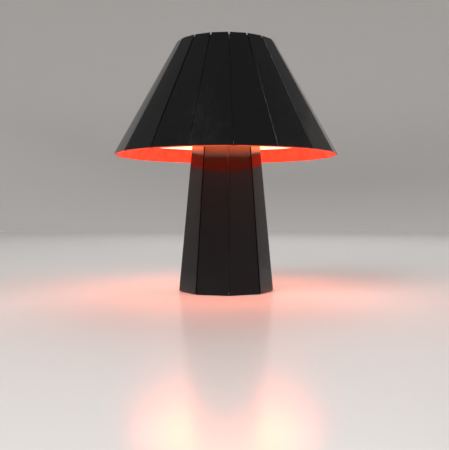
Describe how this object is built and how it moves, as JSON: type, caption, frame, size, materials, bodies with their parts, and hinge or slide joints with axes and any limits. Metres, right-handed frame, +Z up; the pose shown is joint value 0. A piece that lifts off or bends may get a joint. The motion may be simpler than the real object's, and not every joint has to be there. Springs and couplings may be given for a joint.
{
  "type": "table lamp",
  "caption": "Table lamp of folded card: black faceted conical shade with an orange liner and a lit diffuser, on a tapering faceted column with a weighted foot.",
  "frame": {"origin": "on the table surface, at the axis of the column and shade", "axes": "+Z up along the stem; the front seams of shade and column face -Y; the cord gland and switch are at +Y"},
  "size_m": [0.3644, 0.3696, 0.423],
  "materials": {
    "black_card": "glossy black coated card, charcoal where it is cut",
    "orange_paper": "orange-red paper, faint mottling, matt",
    "grey_board": "uncoated dark grey board",
    "grey_moulding": "dark grey moulding, fine texture",
    "opal_diffuser": "opal acrylic, lit from above",
    "opal_glass": "opal glass, lit",
    "black_moulding": "moulded, fine texture",
    "zinc_steel": "zinc plated",
    "cast_iron": "as cast, painted",
    "brass": "turned brass",
    "nickel": "nickel plated",
    "black_glass": "black vitrite",
    "ceramic": "glazed steatite",
    "felt": "pressed wool felt",
    "lead_brown": "single core insulation",
    "lead_blue": "single core insulation",
    "button_black": "satin black push button"
  },
  "bodies": {
    "stand": {"felt_pad": "felt", "base_plate": "zinc_steel", "base_weight": "cast_iron", "plate_screws": "zinc_steel", "base_frame": "black_moulding", "column_cover": "black_card", "column_seam_strip": "grey_board", "upper_former": "grey_moulding", "stem_tube": "zinc_steel", "stem_nuts": "brass", "stem_washers": "zinc_steel", "diffuser_disc": "opal_diffuser", "lampholder_cap": "black_moulding", "contact_block": "ceramic", "centre_contact": "brass", "screw_shell": "brass", "lampholder_body": "black_moulding", "lampholder_ring": "black_moulding", "harp_saddle": "zinc_steel", "harp_ferrules": "brass", "harp_wire": "zinc_steel", "harp_seat": "brass", "cord_gland": "black_moulding", "gland_nut": "black_moulding", "switch_body": "black_moulding", "switch_nut": "zinc_steel", "switch_terminals": "brass", "neutral_connector": "black_moulding", "lead_live": "lead_brown", "lead_neutral": "lead_blue"},
    "shade": {"shade_cover": "black_card", "shade_liner": "orange_paper", "rim_ring": "zinc_steel", "top_ring": "zinc_steel", "shade_seam_strip": "grey_board", "shade_spider": "zinc_steel", "shade_rib_1": "zinc_steel", "shade_rib_2": "zinc_steel", "shade_rib_3": "zinc_steel", "shade_rib_4": "zinc_steel", "shade_rib_5": "zinc_steel", "shade_rib_6": "zinc_steel"},
    "finial": {"finial": "brass"},
    "bulb": {"bulb_cap": "nickel", "bulb_insulator": "black_glass", "bulb_contact": "nickel", "bulb_globe": "opal_glass"},
    "switch_button": {"switch_button": "button_black"}
  },
  "joints": [
    {"name": "shade_lift", "type": "slide", "parent": "stand", "child": "shade", "axis": [0, 0, 1], "range_m": [0, 0.2]},
    {"name": "finial_turn", "type": "hinge", "parent": "shade", "child": "finial", "pos_m": [0, 0, 0.404], "axis": [0, 0, 1], "continuous": true},
    {"name": "bulb_turn", "type": "hinge", "parent": "stand", "child": "bulb", "pos_m": [0, 0, 0.281], "axis": [0, 0, 1], "continuous": true},
    {"name": "switch_press", "type": "slide", "parent": "stand", "child": "switch_button", "axis": [0, -0.9962, -0.0873], "range_m": [0, 0.0025], "stiffness_N_per_m": 300, "springref_m": -0.0015}
  ]
}
